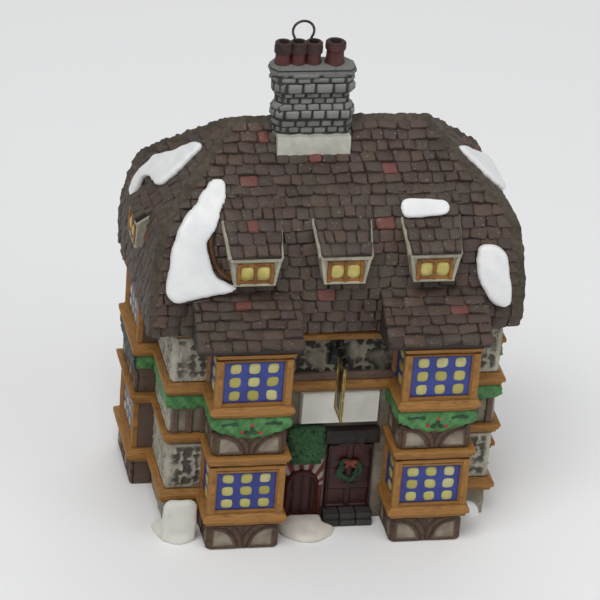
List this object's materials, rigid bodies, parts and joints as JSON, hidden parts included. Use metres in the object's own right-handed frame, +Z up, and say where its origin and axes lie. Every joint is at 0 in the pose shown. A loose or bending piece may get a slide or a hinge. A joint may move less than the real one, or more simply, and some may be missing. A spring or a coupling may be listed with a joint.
{
  "type": "village building ornament",
  "caption": "Hanging ceramic ornament: a snow-dusted timbered village house with bay windows, dormers, brick chimney, wire loop and a swinging metal sign.",
  "frame": {"origin": "middle of the overall footprint, on the plane that the walls and front bays stand on", "axes": "+Z up along the chimney, -Y out of the front with the door and bays, +X to the right seen from the front"},
  "size_m": [0.079, 0.0512, 0.1038],
  "materials": {
    "plaster": "matte, painted bisque",
    "timber": "matte, painted bisque",
    "slate": "matte, painted bisque",
    "sash": "matte, painted bisque",
    "panes": "satin, painted bisque",
    "brick": "matte, painted bisque",
    "lead": "matte, painted bisque",
    "pots": "matte, painted bisque",
    "door_red": "matte, painted bisque",
    "stone": "matte, painted bisque",
    "greenery": "matte, painted bisque",
    "snow": "satin, painted bisque",
    "iron": "black, semi-gloss",
    "sign_metal": "brass edges, black painted faces",
    "wire": "dark drawn wire"
  },
  "bodies": {
    "house": {"wall_shell": "plaster", "lower_ledge": "timber", "middle_ledge": "timber", "upper_ledge": "timber", "eave_board": "timber", "left_bay": "plaster", "left_lower_window_frame": "timber", "left_lower_sash": "sash", "left_lower_panes": "panes", "left_upper_window_frame": "timber", "left_upper_sash": "sash", "left_upper_panes": "panes", "left_bay_roof": "slate", "left_side_bay": "timber", "left_side_lower_window": "sash", "left_side_upper_window": "sash", "right_bay": "plaster", "right_lower_window_frame": "timber", "right_lower_sash": "sash", "right_lower_panes": "panes", "right_upper_window_frame": "timber", "right_upper_sash": "sash", "right_upper_panes": "panes", "right_bay_roof": "slate", "right_side_bay": "timber", "right_side_lower_window": "sash", "right_side_upper_window": "sash", "main_roof": "slate", "left_dormer_cheeks": "plaster", "left_dormer_window": "timber", "left_dormer_roof": "slate", "middle_dormer_cheeks": "plaster", "middle_dormer_window": "timber", "middle_dormer_roof": "slate", "right_dormer_cheeks": "plaster", "right_dormer_window": "timber", "right_dormer_roof": "slate", "left_side_dormer": "plaster", "chimney_stack": "brick", "chimney_flashing": "lead", "chimney_pots": "pots", "hanging_loop": "wire", "name_board": "snow", "door": "door_red", "door_hood": "timber", "doorstep": "stone", "arched_panel": "door_red", "hanging_greenery": "greenery", "sign_bracket": "iron", "left_garland": "greenery", "right_garland": "greenery", "snow_front_left": "snow", "snow_front_right": "snow", "snow_left": "snow", "snow_right": "snow", "snow_right_dormer": "snow", "snow_bank": "snow", "snow_board": "snow"},
    "sign": {"hanging_sign": "sign_metal"}
  },
  "joints": [
    {"name": "sign_swing", "type": "hinge", "parent": "house", "child": "sign", "pos_m": [0.00035, -0.01975, 0.0412], "axis": [0, 1, 0], "range_deg": [-40, 40]}
  ]
}
